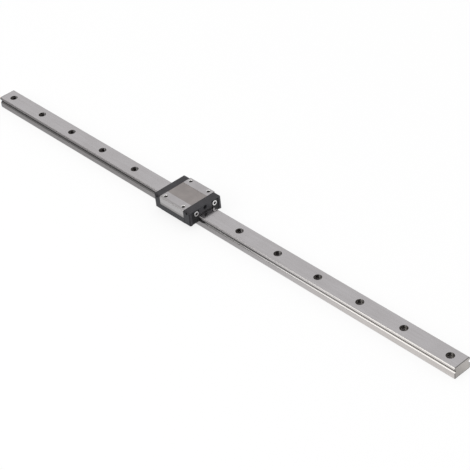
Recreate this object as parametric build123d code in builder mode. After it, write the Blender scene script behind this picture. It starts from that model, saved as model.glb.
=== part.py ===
from build123d import *
from math import hypot, sqrt
import os

# Size 15 miniature profile rail guide, in millimetres. The rail lies along X with its underside
# at Z = 0, and the origin is at the middle of its length.

# Rail
rail_length = 500.0
rail_width = 15.0
rail_height = 9.5
rail_edge_chamfer = 0.5
rail_hole_pitch = 40.0
rail_hole_min_edge = 8.0
rail_hole_diameter = 3.5
rail_counterbore_diameter = 6.0
rail_counterbore_depth = 4.5

# Balls and raceways
ball_diameter = 3.175
ball_clearance = 0.05
race_conformity = 1.04
ball_stand_off = 0.6
ball_row_height = 6.1
race_relief_width = 0.6
race_relief_depth = 0.35
ball_sides = 12
ball_gap = 0.12

# Carriage as a whole
carriage_rest_x = -17.0
carriage_height = 16.0
floor_gap = 3.75

# Carriage block
block_length = 27.0
block_width = 32.0
block_edge_chamfer = 0.8
block_end_chamfer = 0.3
channel_roof_gap = 0.7
leg_gap = 0.8
leg_wall_share = 0.5
leg_lift = 0.3
shoulder_height = 9.0
top_band_width = 15.6
top_band_depth = 0.3
tapped_spacing_along = 20.0
tapped_spacing_across = 25.0
tapped_core_diameter = 2.5
tapped_mouth_diameter = 3.4
tapped_depth = 4.0

# Return strips
return_bore_clearance = 0.15
return_row_height = 6.4
strip_side_inset = 0.1
strip_foot_chamfer = 0.2

# End caps
cap_length = 6.6
cap_side_step = 0.2
cap_top_drop = 0.45
cap_corner_bevel = 0.8
cap_top_chamfer = 1.2
cap_foot_radius = 0.4
cap_rail_gap = 0.5
pocket_depth = 1.2
pocket_rim = 2.4
pocket_roof_rim = 0.9
port_boss_gap = 0.6
port_boss_above_rail = 1.15
port_diameter = 3.4
port_depth = 3.0
side_recess_diameter = 1.6
side_recess_depth = 0.6
side_recess_below_top = 1.55

# End seals
seal_thickness = 0.8
seal_fit_gap = 0.15
seal_foot_gap = 0.1
seal_lip_gap = 0.1

# Cap screws
screw_side_inset = 6.7
screw_height = 12.1
screw_shank_diameter = 2.5
screw_head_diameter = 4.2
screw_head_height = 0.9
screw_head_rim = 0.3
screw_socket_width = 2.0
screw_socket_depth = 0.6
screw_grip = 4.0
screw_hole_clearance = 0.1
screw_pilot_clearance = 0.04
screw_pilot_spare = 0.4

# Worked-out sizes and places
hole_count = int((rail_length - 2 * rail_hole_min_edge) / rail_hole_pitch) + 1
ball_radius = ball_diameter / 2
ball_row_offset = rail_width / 2 + ball_stand_off
ball_pitch = ball_diameter + ball_gap
balls_per_row = int(block_length / ball_pitch)
race_radius = ball_radius * race_conformity + ball_clearance
race_shift = (race_radius - ball_radius - ball_clearance) / sqrt(2)
race_reach = ball_row_offset + race_radius
race_apex = ball_row_offset + race_shift - sqrt(race_radius**2 - race_shift**2)
relief_floor = race_apex - race_relief_depth
return_bore_radius = ball_radius + return_bore_clearance
strip_side = block_width / 2 - strip_side_inset
wall_room = strip_side - race_reach - 2 * return_bore_radius
leg_side = race_reach + wall_room * leg_wall_share
return_row_offset = (leg_side + strip_side) / 2
turn_radius = hypot(return_row_offset - ball_row_offset, return_row_height - ball_row_height) / 2
channel_half = rail_width / 2 + leg_gap
channel_roof = rail_height + channel_roof_gap
leg_foot = floor_gap + leg_lift
block_left = carriage_rest_x - block_length / 2
block_right = carriage_rest_x + block_length / 2
cap_end = block_right + cap_length
cap_width = block_width - 2 * cap_side_step
cap_top = carriage_height - cap_top_drop
cap_notch_half = rail_width / 2 + cap_rail_gap
cap_notch_top = rail_height + cap_rail_gap
pocket_floor = cap_end - pocket_depth
pocket_half = cap_width / 2 - pocket_rim
pocket_top = cap_top - pocket_roof_rim
seal_top = pocket_top - seal_fit_gap
seal_foot = floor_gap + seal_foot_gap
boss_foot = rail_height + port_boss_above_rail
boss_middle = (boss_foot + cap_top) / 2
screw_row_offset = cap_width / 2 - screw_side_inset
port_boss_width = 2 * (screw_row_offset - screw_head_diameter / 2 - port_boss_gap)
screw_seat = pocket_floor + seal_thickness
carriage_middle = Plane.YZ.offset(carriage_rest_x)


def raceway(side, pull, start):
    """Gothic-arch raceway section on side -1 or 1: the lens where two circles cross. Its pointed
    side faces the rail with pull 1 and the carriage with pull -1."""
    middle = side * (ball_row_offset + pull * race_shift)
    with BuildSketch(Plane.YZ.offset(start)) as lens:
        with Locations((middle, ball_row_height + race_shift)):
            Circle(race_radius)
        with Locations((middle, ball_row_height - race_shift)):
            Circle(race_radius, mode=Mode.INTERSECT)
    return lens.sketch


def rail_section(start):
    """The rail's section with its chamfered edges and both raceways."""
    with BuildSketch(Plane.YZ.offset(start)) as section:
        with Locations((0, rail_height / 2)):
            Rectangle(rail_width, rail_height)
        chamfer(section.vertices(), rail_edge_chamfer)
    return section.sketch - raceway(-1, 1, start) - raceway(1, 1, start)


def save(part, name):
    part.label = name
    export_step(part, f"parts/{name}.step")


# Guide rail: ground bar with a ball raceway down each side and counterbored fixing holes, and a
# slot for the ball retainer's wire along the bottom of each raceway
with BuildPart() as rail:
    extrude(rail_section(-rail_length / 2), amount=rail_length, dir=(1, 0, 0))
    for side in (-1, 1):
        with BuildSketch(Plane.YZ.offset(-rail_length / 2)):
            with Locations((side * (relief_floor + ball_row_offset) / 2, ball_row_height)):
                Rectangle(ball_row_offset - relief_floor, race_relief_width)
        extrude(amount=rail_length, mode=Mode.SUBTRACT)
    with Locations((0, 0, rail_height)):
        with GridLocations(rail_hole_pitch, rail_hole_pitch, hole_count, 1):
            CounterBoreHole(
                radius=rail_hole_diameter / 2,
                counter_bore_radius=rail_counterbore_diameter / 2,
                counter_bore_depth=rail_counterbore_depth,
                depth=rail_height,
            )

# Carriage block: an inverted U whose two legs carry the inner raceways
with BuildPart() as carriage_block:
    with BuildSketch(Plane.YZ.offset(block_left)) as block_section:
        with BuildLine():
            Polyline(
                (0, channel_roof),
                (channel_half, channel_roof),
                (channel_half, leg_foot),
                (leg_side, leg_foot),
                (leg_side, shoulder_height),
                (block_width / 2, shoulder_height),
                (block_width / 2, carriage_height),
                (0, carriage_height),
            )
            mirror(about=Plane.YZ)
        make_face()
        top_corners = block_section.vertices().group_by(Axis.Y)[-1].sort_by(Axis.X)
        chamfer([top_corners[0], top_corners[-1]], block_edge_chamfer)
    extrude(amount=block_length)
    end_edges = carriage_block.faces().filter_by(Axis.X).edges()
    chamfer([edge for edge in end_edges if edge.center().Z > channel_roof], block_end_chamfer)
    for side in (-1, 1):
        extrude(raceway(side, -1, block_left), amount=block_length, dir=(1, 0, 0), mode=Mode.SUBTRACT)
    with BuildSketch(Plane.XY.offset(carriage_height)):
        with Locations((carriage_rest_x, 0)):
            Rectangle(block_length, top_band_width)
    extrude(amount=-top_band_depth, mode=Mode.SUBTRACT)
    with Locations((carriage_rest_x, 0, carriage_height)):
        with GridLocations(tapped_spacing_along, tapped_spacing_across, 2, 2):
            CounterSinkHole(
                radius=tapped_core_diameter / 2,
                counter_sink_radius=tapped_mouth_diameter / 2,
                depth=tapped_depth,
                counter_sink_angle=90,
            )
    for end, inward in ((block_left, 1), (block_right, -1)):
        with BuildSketch(Plane.YZ.offset(end)):
            with Locations((-screw_row_offset, screw_height), (screw_row_offset, screw_height)):
                Circle(screw_shank_diameter / 2 + screw_pilot_clearance)
        extrude(amount=inward * (screw_grip + screw_pilot_spare), mode=Mode.SUBTRACT)


# Return strips: moulded bars under the block's shoulders, bored for the balls on their way back
def return_strip(side):
    with BuildPart() as strip:
        with BuildSketch(Plane.YZ.offset(block_left)) as section:
            with Locations((side * return_row_offset, (floor_gap + shoulder_height) / 2)):
                Rectangle(strip_side - leg_side, shoulder_height - floor_gap)
            foot = section.vertices().group_by(Axis.Y)[0].sort_by(Axis.X)
            chamfer(foot[-1] if side > 0 else foot[0], strip_foot_chamfer)
            with Locations((side * return_row_offset, return_row_height)):
                Circle(return_bore_radius, mode=Mode.SUBTRACT)
        extrude(amount=block_length)
    return strip.part


# End cap: moulded body that turns the balls round, with a pocket for the seal and a port boss
with BuildPart() as end_cap_right:
    with BuildSketch(Plane.YZ.offset(block_right)) as cap_section:
        with Locations((0, (cap_top + floor_gap) / 2)):
            Rectangle(cap_width, cap_top - floor_gap)
        chamfer(cap_section.vertices().group_by(Axis.Y)[-1], cap_top_chamfer)
        fillet(cap_section.vertices().group_by(Axis.Y)[0], cap_foot_radius)
        with BuildLine():
            Polyline(
                (-cap_notch_half, 0),
                (-cap_notch_half, cap_notch_top - rail_edge_chamfer),
                (rail_edge_chamfer - cap_notch_half, cap_notch_top),
                (cap_notch_half - rail_edge_chamfer, cap_notch_top),
                (cap_notch_half, cap_notch_top - rail_edge_chamfer),
                (cap_notch_half, 0),
                close=True,
            )
        make_face(mode=Mode.SUBTRACT)
    extrude(amount=cap_length)
    with BuildSketch() as cap_plan:
        with Locations(((block_right + cap_end) / 2, 0)):
            Rectangle(cap_length, cap_width)
        chamfer(cap_plan.vertices().group_by(Axis.X)[-1], cap_corner_bevel)
    extrude(amount=carriage_height, mode=Mode.INTERSECT)
    with BuildSketch(Plane.YZ.offset(cap_end)):
        with Locations((0, (pocket_top + floor_gap) / 2)):
            Rectangle(2 * pocket_half, pocket_top - floor_gap)
        with Locations((0, boss_middle)):
            Rectangle(port_boss_width, cap_top - boss_foot, mode=Mode.SUBTRACT)
    extrude(amount=-pocket_depth, mode=Mode.SUBTRACT)
    for side in (-1, 1):
        across = side * (return_row_offset - ball_row_offset)
        rise = return_row_height - ball_row_height
        middle_y = side * (return_row_offset + ball_row_offset) / 2
        middle_z = (return_row_height + ball_row_height) / 2
        turn = Plane((block_right, middle_y, middle_z), x_dir=(1, 0, 0), z_dir=(0, -rise, across))
        with BuildSketch(turn):
            Circle(turn_radius + return_bore_radius)
            Circle(turn_radius - return_bore_radius, mode=Mode.SUBTRACT)
            split(bisect_by=Plane.YZ)
        extrude(amount=return_bore_radius, both=True, mode=Mode.SUBTRACT)
    with BuildSketch(Plane.YZ.offset(block_right)):
        with Locations((-screw_row_offset, screw_height), (screw_row_offset, screw_height)):
            Circle(screw_shank_diameter / 2 + screw_hole_clearance)
    extrude(amount=cap_length, mode=Mode.SUBTRACT)
    with BuildSketch(Plane.YZ.offset(cap_end)):
        with Locations((0, boss_middle)):
            Circle(port_diameter / 2)
    extrude(amount=-port_depth, mode=Mode.SUBTRACT)
    for side in (-1, 1):
        with BuildSketch(Plane.XZ.offset(side * (cap_width / 2 - side_recess_depth))):
            with Locations(((block_right + cap_end) / 2, cap_top - side_recess_below_top)):
                Circle(side_recess_diameter / 2)
        extrude(amount=side * side_recess_depth, mode=Mode.SUBTRACT)

with BuildPart() as end_cap_left:
    mirror(end_cap_right.part, about=carriage_middle)

# End seal: thin plate in the cap's pocket, with an opening that follows the rail's section
with BuildPart() as end_seal_right:
    with BuildSketch(Plane.YZ.offset(pocket_floor)):
        with Locations((0, (seal_top + seal_foot) / 2)):
            Rectangle(2 * (pocket_half - seal_fit_gap), seal_top - seal_foot)
        with Locations((0, (boss_foot - seal_fit_gap + cap_top) / 2)):
            Rectangle(
                port_boss_width + 2 * seal_fit_gap,
                cap_top - boss_foot + seal_fit_gap,
                mode=Mode.SUBTRACT,
            )
        with Locations((-screw_row_offset, screw_height), (screw_row_offset, screw_height)):
            Circle(screw_shank_diameter / 2 + screw_hole_clearance, mode=Mode.SUBTRACT)
    extrude(amount=seal_thickness)
    lip_opening = offset(
        rail_section(pocket_floor), amount=seal_lip_gap, kind=Kind.INTERSECTION, mode=Mode.PRIVATE
    )
    extrude(lip_opening, amount=seal_thickness, dir=(1, 0, 0), mode=Mode.SUBTRACT)

with BuildPart() as end_seal_left:
    mirror(end_seal_right.part, about=carriage_middle)


# Cap screw: flat round head with a hexagon socket, clamping a seal and its cap to the block
def cap_screw(side):
    middle = (side * screw_row_offset, screw_height)
    with BuildPart() as screw:
        with BuildSketch(Plane.YZ.offset(block_right - screw_grip)):
            with Locations(middle):
                Circle(screw_shank_diameter / 2)
        extrude(amount=screw_seat - block_right + screw_grip)
        with BuildSketch(Plane.YZ.offset(screw_seat)):
            with Locations(middle):
                Circle(screw_head_diameter / 2)
        extrude(amount=screw_head_height)
        rim = screw.faces().sort_by(Axis.X)[-1].edges()
        chamfer(rim, screw_head_rim)
        with BuildSketch(Plane.YZ.offset(screw_seat + screw_head_height)):
            with Locations(middle):
                RegularPolygon(screw_socket_width / 2, 6, major_radius=False)
        extrude(amount=-screw_socket_depth, mode=Mode.SUBTRACT)
    return screw.part


# Ball: three many-sided prisms crossed at right angles, which keeps the faces of sixteen balls few
with BuildPart() as ball:
    for plane, joining in (Plane.XY, Mode.ADD), (Plane.YZ, Mode.INTERSECT), (Plane.ZX, Mode.INTERSECT):
        with BuildSketch(plane):
            RegularPolygon(ball_radius, ball_sides)
        extrude(amount=ball_radius, both=True, mode=joining)


# Ball row: the loaded balls between one raceway of the rail and one of the block
def ball_row(side):
    with BuildPart() as row:
        with Locations((carriage_rest_x, side * ball_row_offset, ball_row_height)):
            with GridLocations(ball_pitch, ball_pitch, balls_per_row, 1):
                add(ball.part)
    return row.part


os.makedirs("parts", exist_ok=True)
save(rail.part, "rail")
save(carriage_block.part, "carriage_block")
save(end_cap_right.part, "end_cap_right")
save(end_cap_left.part, "end_cap_left")
save(end_seal_right.part, "end_seal_right")
save(end_seal_left.part, "end_seal_left")
for side, name in ((-1, "front"), (1, "back")):
    save(return_strip(side), f"return_strip_{name}")
    save(ball_row(side), f"ball_row_{name}")
for number, side in ((1, -1), (2, 1)):
    screw = cap_screw(side)
    save(screw, f"cap_screw_{number}")
    save(mirror(screw, about=carriage_middle), f"cap_screw_{number + 2}")
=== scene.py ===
"""Linear guide rail: a ground steel rail with one ball carriage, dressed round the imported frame."""
import math

import bpy
import numpy as np
from mathutils import Matrix, Vector

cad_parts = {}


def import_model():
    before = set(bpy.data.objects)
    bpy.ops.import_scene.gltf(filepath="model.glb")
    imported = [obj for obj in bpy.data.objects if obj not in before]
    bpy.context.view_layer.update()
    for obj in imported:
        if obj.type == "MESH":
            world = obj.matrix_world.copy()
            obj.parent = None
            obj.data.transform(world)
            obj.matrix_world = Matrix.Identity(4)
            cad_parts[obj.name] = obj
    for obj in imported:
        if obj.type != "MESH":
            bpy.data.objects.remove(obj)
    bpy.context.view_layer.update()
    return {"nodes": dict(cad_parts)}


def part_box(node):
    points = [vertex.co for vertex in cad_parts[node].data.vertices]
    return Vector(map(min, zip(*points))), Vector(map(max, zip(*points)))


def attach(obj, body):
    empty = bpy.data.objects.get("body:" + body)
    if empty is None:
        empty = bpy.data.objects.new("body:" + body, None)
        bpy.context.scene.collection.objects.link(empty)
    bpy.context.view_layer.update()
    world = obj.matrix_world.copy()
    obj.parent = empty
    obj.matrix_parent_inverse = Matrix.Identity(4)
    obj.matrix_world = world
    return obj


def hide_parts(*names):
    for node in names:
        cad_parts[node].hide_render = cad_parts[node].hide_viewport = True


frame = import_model()

MM = 0.001

# Places and sizes from the frame, in metres
rail_low, rail_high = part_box("rail")
RAIL_LENGTH = rail_high.x - rail_low.x
RAIL_HALF_WIDTH = rail_high.y
RAIL_HEIGHT = rail_high.z

block_low, block_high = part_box("carriage_block")
CARRIAGE_X = (block_low.x + block_high.x) / 2
BLOCK_TOP = block_high.z
HALF_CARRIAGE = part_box("end_cap_right")[1].x - CARRIAGE_X

row_low, row_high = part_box("ball_row_back")
BALL_RADIUS = (row_high.z - row_low.z) / 2
BALL_OFFSET = (row_high.y + row_low.y) / 2
BALL_HEIGHT = (row_high.z + row_low.z) / 2
BALLS_PER_ROW = 8
BALL_PITCH = (row_high.x - row_low.x - 2 * BALL_RADIUS) / (BALLS_PER_ROW - 1)

screw_low, screw_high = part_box("cap_screw_2")
SCREW_HEAD_HEIGHT = 0.9 * MM
SCREW_SEAT = screw_high.x - SCREW_HEAD_HEIGHT - CARRIAGE_X
SCREW_SHANK_LENGTH = screw_high.x - SCREW_HEAD_HEIGHT - screw_low.x
SCREW_OFFSET = (screw_high.y + screw_low.y) / 2
SCREW_HEIGHT = (screw_high.z + screw_low.z) / 2
SCREW_HEAD_RADIUS = (screw_high.y - screw_low.y) / 2

# Sizes and places within the CAD pieces, which their boxes don't tell
HOLE_PITCH = 40 * MM
COUNTERBORE_RADIUS = 3 * MM
COUNTERBORE_FLOOR = 5 * MM  # height of its floor
RACE_LOW = 4.3 * MM  # heights between which the raceway lies
RACE_HIGH = 7.8 * MM
RACE_DEEPEST = 5.3 * MM  # half width that the raceway and its slot stay outside
SLOT_MOUTH = 6.52 * MM  # half width inside which the raceway is its wire slot, painted near black as shade
END_BREAK = 0.425 * MM  # width of the edge break, painted as a dark rim of shade, along the top and foot of the rail's ends
SIDE_BREAK = 0.6 * MM  # and of the upright ones
BAND_HALF_WIDTH = 7.8 * MM
DARKER_NEAR_EDGE = 13.9 * MM  # half width outside which the near ground strip is darker
FLANK_SHADE = 10.9 * MM  # height under which painted shade darkens the block's flanks
TAP_HALF_ALONG = 10 * MM
TAP_HALF_ACROSS = 12.5 * MM
TAP_RADIUS = 1.25 * MM
TAP_MOUTH_RADIUS = 1.7 * MM
TAP_DEPTH = 4 * MM
RECESS_ALONG = 16.8 * MM
RECESS_HEIGHT = 14 * MM
RECESS_RADIUS = 0.85 * MM
SEAL_LIT_MIDDLE = 6.35 * MM  # half width of a seal's middle, painted paler as light
PORT_HEIGHT = 13.1 * MM
PORT_RADIUS = 1.7 * MM
PORT_DEPTH = 3 * MM
PORT_THREAD_START = 0.3 * MM
SCREW_SHANK_RADIUS = 1.25 * MM
SCREW_SOCKET_HALF_WIDTH = 1 * MM
SCREW_SOCKET_DEPTH = 0.6 * MM

# The photograph is square, with this many pixels a side
PHOTO_SIZE = 470


# Camera
def aim_camera(azimuth, elevation, roll, distance, target, focal_px):
    """Camera on a sphere round target. Azimuth 0 looks along +Y, and roll turns the picture."""
    a, e, r = (math.radians(v) for v in (azimuth, elevation, roll))
    back = Vector((math.sin(a) * math.cos(e), -math.cos(a) * math.cos(e), math.sin(e)))
    level = (-back).cross(Vector((0, 0, 1))).normalized()
    upright = level.cross(-back)
    right = math.cos(r) * level + math.sin(r) * upright
    up = math.cos(r) * upright - math.sin(r) * level
    data = bpy.data.cameras.new("camera")
    data.sensor_width = 36
    data.lens = focal_px / PHOTO_SIZE * data.sensor_width
    data.clip_start, data.clip_end = 0.01, 20
    camera = bpy.data.objects.new("camera", data)
    turn = Matrix((right, up, back)).transposed()
    camera.matrix_world = Matrix.Translation(target + distance * back) @ turn.to_4x4()
    bpy.context.scene.collection.objects.link(camera)
    bpy.context.scene.camera = camera


aim_camera(azimuth=50.963, elevation=37.61, roll=-6.234, distance=1.083293,
           target=Vector((0.036489, -0.001738, 0.005)), focal_px=1483.556)
bpy.context.scene.view_settings.view_transform = "Standard"


# New pieces
def mesh_piece(name, body, vertices, faces):
    """Links a smooth mesh of these vertices and faces, riding on a body."""
    mesh = bpy.data.meshes.new(name)
    mesh.from_pydata(vertices.tolist(), [], faces)
    mesh.polygons.foreach_set("use_smooth", np.ones(len(mesh.polygons), bool))
    made = bpy.data.objects.new(name, mesh)
    bpy.context.scene.collection.objects.link(made)
    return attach(made, body)


def tube(rings):
    """Faces that join a stack of closed rings, an array of shape (rings, points round, 3)."""
    index = np.arange(rings.shape[0] * rings.shape[1]).reshape(rings.shape[:2])
    after = np.roll(index, -1, axis=1)
    return np.stack([index[:-1], after[:-1], after[1:], index[1:]], axis=-1).reshape(-1, 4).tolist()


def closed_shell(rings, first, last):
    """Vertices and faces of a stack of rings whose two ends close in a fan round one point each."""
    count, around = rings.shape[:2]
    vertices = np.concatenate([rings.reshape(-1, 3), [first, last]])
    ring = np.arange(around)
    after = np.roll(ring, -1)
    top = (count - 1) * around
    low = np.stack([after, ring, np.full(around, count * around)], axis=-1)
    high = np.stack([top + ring, top + after, np.full(around, count * around + 1)], axis=-1)
    return vertices, tube(rings) + low.tolist() + high.tolist()


def ball_row(name, side):
    """Row of balls. Each is a stack of circles: radius times (cos u cos v, sin u cos v, sin v), u
    once round and v from pole to pole."""
    u = np.linspace(0, 2 * np.pi, 32, endpoint=False)
    v = np.linspace(-np.pi / 2, np.pi / 2, 19)[1:-1]
    rings = np.stack([np.outer(np.cos(v), np.cos(u)), np.outer(np.cos(v), np.sin(u)),
                      np.outer(np.sin(v), np.ones_like(u))], axis=-1)
    ball, faces = closed_shell(rings, (0, 0, -1), (0, 0, 1))
    steps = (np.arange(BALLS_PER_ROW) - (BALLS_PER_ROW - 1) / 2) * BALL_PITCH + CARRIAGE_X
    vertices = [ball * BALL_RADIUS + (x, side * BALL_OFFSET, BALL_HEIGHT) for x in steps]
    faces = [[i + k * len(ball) for i in face] for k in range(BALLS_PER_ROW) for face in faces]
    return mesh_piece(name, "carriage", np.concatenate(vertices), faces)


def hole_axes(into):
    """Two unit vectors across a hole, turning left-handed round the way it goes in."""
    first = np.array((1.0, 0, 0)) if abs(into[2]) > 0.5 else np.array((0, 1.0, 0))
    return first, np.cross(first, into)


def thread(name, mouth, into, radius, depth, start):
    """Thread lining a round hole: radius = the hole's less a crest that rises and falls once a
    pitch, along a depth that also climbs one pitch a turn, so that the crests make a helix. The
    hole goes in from the point mouth along the unit vector into."""
    pitch = 0.5 * MM
    crest = 0.11 * MM
    wall_gap = 0.01 * MM  # keeps the thread off the hole's wall
    floor_gap = 0.05 * MM  # and off its floor
    first, second = hole_axes(into)
    turn = np.linspace(0, 2 * np.pi, 40, endpoint=False)
    deep = np.linspace(start, depth - floor_gap, 60)
    d, a = np.meshgrid(deep, turn, indexing="ij")
    wave = np.abs(((d / pitch - a / (2 * np.pi)) % 1) * 2 - 1)
    r = radius - wall_gap - crest * np.clip(1.6 * wave - 0.3, 0, 1)
    rings = (np.array(mouth) + d[..., None] * np.array(into)
             + (r * np.cos(a))[..., None] * first + (r * np.sin(a))[..., None] * second)
    return mesh_piece(name, "carriage", rings.reshape(-1, 3), tube(rings))


def cap_screw(name, end, side):
    """Cap screw: a stack of rings along its axis, from the point past the shank, the underside and
    side of the head and a quarter round, r = a + b cos t at height c + b sin t, to the flat face
    and down into a hexagon socket, r = half width / cos of the angle from the nearest flat."""
    turn = np.linspace(0, 2 * np.pi, 72, endpoint=False)
    to_flat = (turn + np.pi / 6) % (np.pi / 3) - np.pi / 6
    hexagon = SCREW_SOCKET_HALF_WIDTH / np.cos(to_flat)
    circle = np.ones_like(turn)
    hair = 0.01 * MM  # keeps neighbouring faces apart
    point = 0.3 * MM  # bevel at the shank's end
    fillet = 0.05 * MM  # under the head
    foot = 0.08 * MM  # bevel where the head meets its seat
    edge = 0.32 * MM  # rounding of the head's edge
    bevel = 0.1 * MM  # round the socket's mouth
    shank = SCREW_SHANK_RADIUS - hair
    profile = [(-SCREW_SHANK_LENGTH, (shank - point) * circle),
               (point - SCREW_SHANK_LENGTH, shank * circle),
               (hair - fillet, shank * circle),
               (hair, (shank + fillet) * circle),
               (hair, (SCREW_HEAD_RADIUS - foot) * circle),
               (foot, (SCREW_HEAD_RADIUS - hair) * circle)]
    for t in np.linspace(0, np.pi / 2, 9):
        profile.append((SCREW_HEAD_HEIGHT - edge + edge * np.sin(t),
                        (SCREW_HEAD_RADIUS - edge + edge * np.cos(t)) * circle))
    rim = SCREW_SOCKET_HALF_WIDTH / np.cos(np.pi / 6) + bevel
    bevel_top = SCREW_HEAD_HEIGHT - 2 * hair
    socket_floor = SCREW_HEAD_HEIGHT - SCREW_SOCKET_DEPTH
    profile += [(SCREW_HEAD_HEIGHT, (rim + 6 * hair) * circle),
                (bevel_top, rim * circle),
                (bevel_top - bevel, hexagon),
                (bevel_top - bevel - 4 * hair, hexagon),
                (socket_floor + 3 * hair, hexagon),
                (socket_floor, hexagon * 0.96)]
    along = np.array((float(end), 0, 0))
    first = np.array((0, 1.0, 0))
    second = np.cross(along, first)
    middle = np.array((CARRIAGE_X + end * SCREW_SEAT, side * SCREW_OFFSET, SCREW_HEIGHT))
    rings = np.stack([middle + height * along + np.outer(r * np.cos(turn), first)
                      + np.outer(r * np.sin(turn), second) for height, r in profile])
    vertices, faces = closed_shell(rings, middle - SCREW_SHANK_LENGTH * along,
                                   middle + (socket_floor - fillet) * along)
    return mesh_piece(name, "carriage", vertices, faces)


# Shader maths
class Field:
    """One shader socket. Arithmetic on fields adds the Math nodes that work it out."""

    def __init__(self, tree, socket=None):
        self.tree, self.socket = tree, socket

    def node(self, kind, settings=None, values=None, output=0):
        """Adds a node of a kind, sets its settings, gives its sockets numbers or links, and
        returns the field of one of its outputs."""
        made = self.tree.nodes.new(kind)
        for name, setting in (settings or {}).items():
            if name == "stops":
                elements = made.color_ramp.elements
                while len(elements) < len(setting):
                    elements.new(1.0)
                for element, (place, colour) in zip(elements, setting):
                    element.position, element.color = place, (*colour, 1)
            else:
                setattr(made, name, setting)
        for name, value in (values or {}).items():
            self.put(made.inputs[name], value)
        return Field(self.tree, made.outputs[output])

    def put(self, socket, value):
        """Gives a socket a link, a colour or a number."""
        if isinstance(value, Field):
            self.tree.links.new(value.socket, socket)
        elif socket.type == "RGBA" and len(value) == 3:
            socket.default_value = (*value, 1)
        else:
            socket.default_value = value

    def maths(self, operation, *terms):
        """Math node of an operation on these fields and numbers."""
        return self.node("ShaderNodeMath", {"operation": operation}, dict(enumerate(terms)))

    def __add__(self, other):
        return self.maths("ADD", self, other)

    def __sub__(self, other):
        return self.maths("SUBTRACT", self, other)

    def __rsub__(self, other):
        return self.maths("SUBTRACT", other, self)

    def __mul__(self, other):
        return self.maths("MULTIPLY", self, other)

    __radd__, __rmul__ = __add__, __mul__

    def size(self):
        """This field without its sign."""
        return self.maths("ABSOLUTE", self)

    def larger(self, other):
        """The larger of two fields, which on masks is either of them."""
        return self.maths("MAXIMUM", self, other)

    def distance(self, other):
        """How far the point with these two coordinates is from zero."""
        return self.maths("SQRT", self * self + other * other)

    def between(self, low, high):
        """0 below low, 1 above high and smooth between, or the other way if low is the larger."""
        if low < high:
            ends = {"From Min": low, "From Max": high, "To Min": 0.0, "To Max": 1.0}
        else:
            ends = {"From Min": high, "From Max": low, "To Min": 1.0, "To Max": 0.0}
        return self.node("ShaderNodeMapRange", {"interpolation_type": "SMOOTHSTEP"},
                         {"Value": self, **ends})

    def above(self, level, soft):
        """1 above a level and 0 below it, with an edge this soft."""
        return self.between(level - soft / 2, level + soft / 2)

    def below(self, level, soft):
        """1 below a level and 0 above it, with an edge this soft."""
        return self.between(level + soft / 2, level - soft / 2)

    def blend(self, first, second, blend_type="MIX"):
        """Colour between first and second by this field, or first times second if the type is
        MULTIPLY."""
        return self.node("ShaderNodeMix", {"data_type": "RGBA", "blend_type": blend_type},
                         {0: self, 6: first, 7: second}, output=2)

    def mottle(self, first, second, spread=0.2):
        """Colour between first and second, as this noise goes this far to each side of a half."""
        return self.between(0.5 - spread, 0.5 + spread).blend(first, second)

    def noise(self, stretch, detail=3.0, roughness=0.55):
        """Noise over Object coordinates, with this many cells to the metre along x, y and z."""
        place = self.node("ShaderNodeTexCoord", output="Object")
        place = self.node("ShaderNodeMapping", None, {"Vector": place, "Scale": stretch})
        return self.node("ShaderNodeTexNoise", None,
                         {"Vector": place, "Scale": 1.0, "Detail": detail, "Roughness": roughness})

    def turned(self, rings_per_metre):
        """Noise along this field alone, which makes rings of a radius."""
        return self.node("ShaderNodeTexNoise", {"noise_dimensions": "1D"},
                         {"W": self, "Scale": rings_per_metre, "Detail": 2.0})

    def axes(self, source="Object"):
        """x, y and z of the Object coordinates, or of another output of Texture Coordinate: Normal
        is the way the surface faces and, in a world, Generated the way that is looked."""
        place = self.node("ShaderNodeTexCoord", output=source)
        return [self.node("ShaderNodeSeparateXYZ", None, {0: place}, output=k) for k in range(3)]

    def bump(self, depth, strength):
        """Normal that this field raises, by up to this depth."""
        return self.node("ShaderNodeBump", None,
                         {"Height": self, "Distance": depth, "Strength": strength})


def finish(name, build, metallic):
    """Material with one Principled shader, metal or not. build(field) gives the sockets that vary
    over the surface, by masks of where a point is, x, y and z, and of the way it faces, nx, ny and
    nz."""
    material = bpy.data.materials.new(name)
    material.use_nodes = True
    shader = material.node_tree.nodes["Principled BSDF"]
    shader.inputs["Metallic"].default_value = metallic
    start = Field(material.node_tree)
    for socket, value in build(start).items():
        start.put(shader.inputs[socket], value)
    return material


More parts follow.
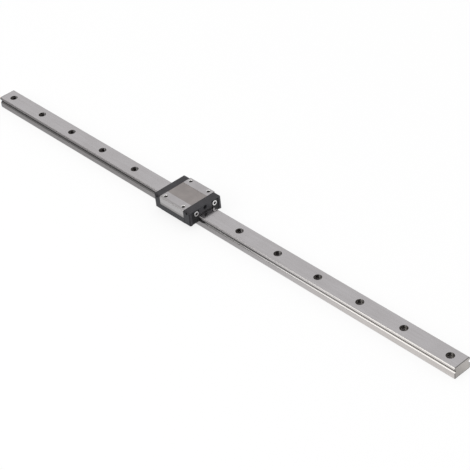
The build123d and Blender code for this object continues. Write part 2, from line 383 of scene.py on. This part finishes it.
# Finishes
def rail_finish(f):
    """Ground steel: fine lines along the rail, bright raceways with painted shade in the slot at the
    bottom, turned counterbores with painted shade in their depth, a painted dark ring of shade at the
    mouth and a painted gleam on one side of the wall, and sawn ends with a painted dark rim of shade
    at the edge break. The chamfers brighten towards the near end as a painted highlight, and the
    sides warm towards it."""
    x, y, z = f.axes()
    nx, ny, nz = f.axes("Normal")
    fine = f.noise((70.0, 9000.0, 9000.0), 4.0, 0.65)
    broad = f.noise((25.0, 700.0, 700.0), 2.0)
    cloud = f.noise((60.0, 60.0, 60.0), 2.0)
    cuts = f.noise((9000.0, 9000.0, 260.0), 3.0, 0.6)

    top = nz.between(0.8, 0.95)
    chamfer = nz.between(0.4, 0.6) * nz.between(0.9, 0.8)
    side = ny.size().between(0.6, 0.8)
    sawn = nx.size().between(0.9, 0.98)
    race = (y.size().below(RAIL_HALF_WIDTH - 0.04 * MM, 0.04 * MM)
            * y.size().above(RACE_DEEPEST, 0.2 * MM)
            * z.above(RACE_LOW, 0.2 * MM) * z.below(RACE_HIGH, 0.2 * MM))
    slot = race * y.size().below(SLOT_MOUTH, 0.06 * MM)

    from_hole = f.maths("WRAP", x, HOLE_PITCH / 2, -HOLE_PITCH / 2)
    radius = from_hole.distance(y)
    rings = (radius + z * 0.6).turned(9000.0)
    hole = radius.between(COUNTERBORE_RADIUS * 1.05, COUNTERBORE_RADIUS * 1.03)
    lip_shade = (hole * radius.between(COUNTERBORE_RADIUS * 0.985, COUNTERBORE_RADIUS)
           * z.between(RAIL_HEIGHT - 0.02 * MM, RAIL_HEIGHT))
    deep = z.below(COUNTERBORE_FLOOR + 1.2 * MM, 2 * MM)
    gleam = nx.between(-0.1, 0.15) * nx.between(0.6, 0.45) * ny.between(-0.5, -0.7)

    top_edge = top * x.size().above(RAIL_LENGTH / 2 - END_BREAK, 0.15 * MM)
    rim = z.above(RAIL_HEIGHT - END_BREAK, 0.15 * MM).larger(z.below(END_BREAK, 0.15 * MM))
    rim = rim.larger(y.size().above(RAIL_HALF_WIDTH - SIDE_BREAK, 0.2 * MM))
    edge_break_shade = (top_edge * 0.65).larger(sawn * rim)

    steel = (fine * 0.5 + broad * 0.3 + cloud * 0.2).mottle(
        (0.54, 0.515, 0.515), (0.66, 0.64, 0.65), 0.25)
    # Painted highlight: the chamfers' colour brightens towards the near end.
    bright = x.between(0.0, 0.2).blend((0.50, 0.48, 0.48), (0.86, 0.845, 0.835))
    bore = rings.mottle((0.54, 0.525, 0.515), (0.82, 0.80, 0.79))
    # Painted shade: the counterbore's wall is coloured darker in its depth.
    bore = deep.blend(bore, (0.27, 0.26, 0.26))
    # Painted gleam: one side of the counterbore's wall is coloured near white.
    bore = gleam.blend(bore, (0.98, 0.975, 0.97))
    end = cuts.mottle((0.33, 0.31, 0.295), (0.46, 0.44, 0.42), 0.25)

    colour = chamfer.blend(steel, bright)
    colour = race.blend(colour, (0.70, 0.685, 0.68))
    # Painted shade: the wire slot is coloured near black.
    colour = slot.blend(colour, (0.035, 0.027, 0.025))
    colour = hole.blend(colour, bore)
    # Painted shade: a dark ring at the counterbore's mouth.
    colour = lip_shade.blend(colour, (0.10, 0.095, 0.09))
    colour = sawn.blend(colour, end)
    # Painted shade: a dark rim at the edge break of the sawn ends.
    colour = edge_break_shade.blend(colour, (0.08, 0.075, 0.075))
    warm = side * x.between(0.05, 0.2)
    colour = warm.blend(colour, (1.0, 0.985, 0.945), "MULTIPLY")

    rough = 0.24 + fine * 0.16 + cloud * 0.05 - top * 0.15 + chamfer * 0.08
    rough = rough * (1 - race) + race * (0.12 + broad * 0.06 + slot * 0.4)
    rough = rough * (1 - hole) + hole * (0.2 + gleam * 0.36)
    rough = rough * (1 - sawn) + sawn * 0.48
    lines = fine * (1 - race * 0.85) * (1 - hole) * (1 - sawn) * (1 - top * 0.6)
    lines = lines + hole * rings + sawn * cuts
    return {"Base Color": colour, "Roughness": rough, "Normal": lines.bump(0.006 * MM, 0.7)}


def block_finish(f):
    """Ground steel block: ground strips, the near one darker along its edge, beside a duller, warmer
    band along the top, flanks with painted shade that darkens them downwards, and bright countersinks
    round tapped holes painted dark as shade."""
    x, y, z = f.axes()
    nx, ny, nz = f.axes("Normal")
    fine = f.noise((120.0, 8000.0, 8000.0), 4.0, 0.65)
    cloud = f.noise((110.0, 110.0, 110.0), 2.0)

    top = nz.between(0.6, 0.8)
    flank = ny.size().between(0.6, 0.8)
    ends = nx.size().between(0.6, 0.8)
    # Painted shade: the flanks are coloured darker below FLANK_SHADE.
    low = z.below(FLANK_SHADE, 1.4 * MM)
    # The near ground strip is coloured darker along its edge.
    darker_near_edge = top * y.below(-DARKER_NEAR_EDGE, 1 * MM)
    band = top * y.size().between(BAND_HALF_WIDTH + 0.02 * MM, BAND_HALF_WIDTH - 0.05 * MM)
    from_x = (x - CARRIAGE_X).size() - TAP_HALF_ALONG
    from_y = y.size() - TAP_HALF_ACROSS
    radius = from_x.distance(from_y)
    sink = radius.between(TAP_MOUTH_RADIUS * 1.02, TAP_MOUTH_RADIUS)
    tap_shade = radius.between(TAP_RADIUS * 1.06, TAP_RADIUS * 1.01)

    steel = (fine * 0.6 + cloud * 0.4).mottle((0.50, 0.48, 0.485), (0.62, 0.60, 0.605), 0.25)
    dull = cloud.mottle((0.375, 0.345, 0.335), (0.43, 0.395, 0.38))
    colour = darker_near_edge.blend(steel, (0.47, 0.455, 0.455))
    colour = flank.blend(colour, low.blend((0.72, 0.705, 0.71), (0.50, 0.485, 0.48)))
    colour = band.blend(colour, dull)
    colour = sink.blend(colour, (0.86, 0.85, 0.84))
    # Painted shade: the wall inside each tapped hole is coloured near black.
    colour = tap_shade.blend(colour, (0.06, 0.055, 0.05))

    rough = 0.26 + fine * 0.16 + band * 0.16
    rough = rough * (1 - sink) + sink * 0.2
    lines = fine * (1 - band * 0.6) * (1 - ends * 0.5) * (1 - sink)
    return {"Base Color": colour, "Roughness": rough, "Normal": lines.bump(0.006 * MM, 0.6)}


def thread_finish(f):
    """Thread in a tapped hole, painted dark as the shade in the hole."""
    marks = f.noise((2500.0, 2500.0, 2500.0), 2.0)
    # Painted shade: the whole thread is coloured dark.
    return {"Base Color": marks.mottle((0.10, 0.095, 0.09), (0.20, 0.19, 0.18)),
            "Roughness": 0.25 + marks * 0.15}


def plastic_finish(f):
    """Black moulded plastic: fine spark texture, with painted light that makes the faces that stand
    upright a little paler, and painted shade that makes the small recess on each side of a cap dark."""
    x, y, z = f.axes()
    nx, ny = f.axes("Normal")[:2]
    grain = f.noise((3200.0, 3200.0, 3200.0), 3.0, 0.6)
    cloud = f.noise((150.0, 150.0, 150.0), 2.0)

    from_x = (x - CARRIAGE_X).size() - RECESS_ALONG
    from_z = z - RECESS_HEIGHT
    recess = from_x.distance(from_z).below(RECESS_RADIUS, 0.2 * MM)
    recess = recess * y.size().above(7 * MM, 2 * MM)

    colour = cloud.mottle((0.024, 0.022, 0.026), (0.036, 0.034, 0.039))
    # Painted light: paler copies of the plastic's colour for the faces that stand upright.
    flank = cloud.mottle((0.032, 0.033, 0.039), (0.044, 0.045, 0.052))
    front = cloud.mottle((0.042, 0.041, 0.046), (0.056, 0.055, 0.061))
    colour = ny.size().between(0.7, 0.9).blend(colour, flank)
    colour = nx.size().between(0.7, 0.9).blend(colour, front)
    # Painted shade: the recess is coloured near black.
    colour = recess.blend(colour, (0.006, 0.006, 0.007))
    return {"Base Color": colour, "Roughness": 0.34 + grain * 0.12,
            "Normal": grain.bump(0.02 * MM, 0.5)}


def rubber_finish(f):
    """Dark seal rubber, matt and faintly mottled, with painted light that makes the middle over the
    rail paler.
    """
    y = f.axes()[1]
    cloud = f.noise((900.0, 900.0, 900.0), 3.0)
    colour = cloud.mottle((0.014, 0.014, 0.015), (0.024, 0.024, 0.026))
    # Painted light: the middle over the rail, in shade under the cap's boss, is coloured paler.
    colour = y.size().below(SEAL_LIT_MIDDLE, 0.3 * MM).blend(colour, (0.085, 0.083, 0.088))
    return {"Base Color": colour, "Roughness": 0.6 + cloud * 0.15,
            "Normal": cloud.bump(0.015 * MM, 0.4)}


def screw_finish(f):
    """Bright plated steel with turning marks and a socket painted dark as its shade."""
    x, y, z = f.axes()
    from_y = y.size() - SCREW_OFFSET
    from_z = z - SCREW_HEIGHT
    radius = from_y.distance(from_z)
    marks = radius.turned(14000.0)
    from_face = (x - CARRIAGE_X).size() - (SCREW_SEAT + SCREW_HEAD_HEIGHT)
    # Painted shade: the socket is coloured near black.
    socket = (radius.below(SCREW_SOCKET_HALF_WIDTH * 1.21, 0.06 * MM)
              * from_face.between(-0.03 * MM, -0.12 * MM))
    colour = marks.mottle((0.84, 0.84, 0.84), (0.93, 0.93, 0.93))
    colour = socket.blend(colour, (0.035, 0.033, 0.03))
    return {"Base Color": colour, "Roughness": 0.16 + marks * 0.1 + socket * 0.25,
            "Normal": (marks * (1 - socket)).bump(0.003 * MM, 0.4)}


def ball_finish(f):
    """Polished bearing steel."""
    marks = f.noise((1500.0, 1500.0, 1500.0), 2.0)
    return {"Base Color": marks.mottle((0.72, 0.72, 0.73), (0.78, 0.78, 0.79)),
            "Roughness": 0.05 + marks * 0.04}


steel_rail = finish("ground_rail_steel", rail_finish, metallic=1.0)
steel_block = finish("ground_block_steel", block_finish, metallic=1.0)
black_plastic = finish("black_moulded_plastic", plastic_finish, metallic=0.0)
seal_rubber = finish("seal_rubber", rubber_finish, metallic=0.0)
bright_screw = finish("bright_screw_steel", screw_finish, metallic=1.0)
shaded_thread = finish("shaded_thread_steel", thread_finish, metallic=1.0)
bright_ball = finish("polished_ball_steel", ball_finish, metallic=1.0)


# Dressing of the CAD nodes
def dress(node, material):
    """Gives a CAD node one material."""
    data = frame["nodes"][node].data
    data.materials.clear()
    data.materials.append(material)


def round_edges(node, width):
    """Rounds the sharp edges of a CAD node as moulding or tumbling does, and leaves its faces where
    they are. Its loose triangles are welded and its flat faces joined first."""
    made = frame["nodes"][node]
    weld = made.modifiers.new("weld", "WELD")
    weld.merge_threshold = 0.001 * MM
    flat = made.modifiers.new("flat", "DECIMATE")
    flat.decimate_type, flat.angle_limit = "DISSOLVE", math.radians(0.5)
    bevel = made.modifiers.new("edges", "BEVEL")
    bevel.width, bevel.segments = width, 2
    bevel.limit_method, bevel.angle_limit = "ANGLE", math.radians(32)
    bevel.use_clamp_overlap = False
    bevel.harden_normals = True


# What each CAD node's name starts with, its material and the width of its rounded edges
DRESSING = [("rail", steel_rail, 0), ("carriage_block", steel_block, 0.07 * MM),
            ("end_cap", black_plastic, 0.16 * MM), ("return_strip", black_plastic, 0.16 * MM),
            ("end_seal", seal_rubber, 0.08 * MM), ("cap_screw", bright_screw, 0),
            ("ball_row", bright_ball, 0)]

for node in frame["nodes"]:
    for start, material, width in DRESSING:
        if node.startswith(start):
            dress(node, material)
            if width:
                round_edges(node, width)

# Balls, screws and threads
for side, where in ((-1, "front"), (1, "back")):
    row = ball_row(f"loaded_balls_{where}", side)
    row.data.materials.append(bright_ball)
    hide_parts(f"ball_row_{where}")

for number, (end, side) in enumerate(((1, -1), (1, 1), (-1, -1), (-1, 1)), 1):
    screw = cap_screw(f"turned_cap_screw_{number}", end, side)
    screw.data.materials.append(bright_screw)
    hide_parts(f"cap_screw_{number}")
    mouth = (CARRIAGE_X + end * TAP_HALF_ALONG, side * TAP_HALF_ACROSS, BLOCK_TOP)
    start = TAP_MOUTH_RADIUS - TAP_RADIUS
    lining = thread(f"tapped_thread_{number}", mouth, (0, 0, -1), TAP_RADIUS, TAP_DEPTH, start)
    lining.data.materials.append(shaded_thread)

for end, where in ((-1, "left"), (1, "right")):
    mouth = (CARRIAGE_X + end * HALF_CARRIAGE, 0, PORT_HEIGHT)
    lining = thread(f"port_thread_{where}", mouth, (-end, 0, 0), PORT_RADIUS, PORT_DEPTH,
                    PORT_THREAD_START)
    lining.data.materials.append(black_plastic)


# Floor, world and lamp

# How bright the floor a little way in front looks to metal, at places along the rail in metres
FAR_FLOOR = [(-0.25, 0.10), (-0.065, 0.10), (-0.052, 0.62), (-0.010, 0.62), (0.0, 0.18),
             (0.045, 0.28), (0.085, 0.95), (0.12, 1.0), (0.25, 1.0)]


def floor():
    """Pale floor: lit white that keeps the shadow, and plain white where a camera or a mirror sees
    it. What metal sees of it is a glow that darkens towards the rail's far end, by a slope near the
    rail and by FAR_FLOOR away from it, with painted shade that makes it dark under the rail."""
    reach = 6.0
    mesh = bpy.data.meshes.new("floor")
    corners = [(-reach, -reach, 0), (reach, -reach, 0), (reach, reach, 0), (-reach, reach, 0)]
    mesh.from_pydata(corners, [], [(0, 1, 2, 3)])
    made = bpy.data.objects.new("floor", mesh)
    bpy.context.scene.collection.objects.link(made)
    material = bpy.data.materials.new("pale_floor")
    material.use_nodes = True
    tree = material.node_tree
    tree.nodes.clear()
    f = Field(tree)
    x, y = f.axes()[:2]
    near = 0.417 + x.between(-0.04, 0.19) * 0.53 + y.between(-0.002, 0.008) * 0.3
    stops = [(place / RAIL_LENGTH + 0.5, (level,) * 3) for place, level in FAR_FLOOR]
    far = f.node("ShaderNodeValToRGB", {"stops": stops}, {0: x * (1 / RAIL_LENGTH) + 0.5})
    away = y.between(-0.012, -0.022)
    inset = 0.5 * MM  # how softly the patch under the rail begins
    # Painted shade: what metal sees of the floor is darkened under the rail.
    under = (y.size().between(RAIL_HALF_WIDTH, RAIL_HALF_WIDTH - inset)
             * x.size().between(RAIL_LENGTH / 2, RAIL_LENGTH / 2 - inset))
    seen = (near * (1 - away) + far * away) * (1 - under * 0.85)
    glossy = f.node("ShaderNodeLightPath", output="Is Glossy Ray")
    camera = f.node("ShaderNodeLightPath", output="Is Camera Ray")
    lit = f.node("ShaderNodeBsdfDiffuse", None, {"Color": (0.8, 0.8, 0.8)})
    white = f.node("ShaderNodeEmission", None, {"Color": (1, 1, 1), "Strength": 1.13})
    mirror = f.node("ShaderNodeEmission", None,
                    {"Color": glossy.blend((0, 0, 0), (1, 1, 1)), "Strength": seen})
    shown = f.node("ShaderNodeMixShader", None, {0: camera * (1 - under) * 0.72, 1: lit, 2: white})
    shown = f.node("ShaderNodeMixShader", None, {0: glossy, 1: shown, 2: mirror})
    out = tree.nodes.new("ShaderNodeOutputMaterial")
    tree.links.new(shown.socket, out.inputs[0])
    mesh.materials.append(material)


def world():
    """Pale surroundings, white where the camera sees them, with a dark screen towards the front
    left, which the far half of the rail mirrors in its raceway, and a bright panel beside it. The
    way that is looked is dx, dy, dz."""
    made = bpy.data.worlds.new("studio")
    bpy.context.scene.world = made
    made.use_nodes = True
    tree = made.node_tree
    f = Field(tree)
    camera = f.node("ShaderNodeLightPath", output="Is Camera Ray")
    dx, dy, dz = f.axes("Generated")
    screen = dx.between(-0.42, -0.62) * dy.between(0.05, -0.25)
    panel = (dx.between(-0.605, -0.545) * dx.between(0.3, 0.1)
             * dy.between(-0.05, -0.3) * dz.between(-0.02, 0.1))
    above = dz.between(0.7, 0.95)
    colour = above.blend((0.71, 0.71, 0.715), (0.98, 0.98, 0.985))
    colour = screen.blend(colour, (0.15, 0.148, 0.148))
    colour = panel.blend(colour, (0.91, 0.895, 0.88))
    tree.links.new(camera.blend(colour, (1, 1, 1)).socket, tree.nodes["Background"].inputs[0])


def softbox(name, place, aim, size, watts):
    """Rectangular lamp at a place, aimed at a point."""
    data = bpy.data.lights.new(name, "AREA")
    data.shape, data.size, data.size_y = "RECTANGLE", size[0], size[1]
    data.energy = watts
    made = bpy.data.objects.new(name, data)
    made.location = place
    made.rotation_euler = (Vector(aim) - Vector(place)).to_track_quat("-Z", "Y").to_euler()
    bpy.context.scene.collection.objects.link(made)


floor()
world()
softbox("front_softbox", place=(-0.19, -0.75, 0.55), aim=(0, 0, 0.01), size=(0.78, 0.35),
        watts=0.95)
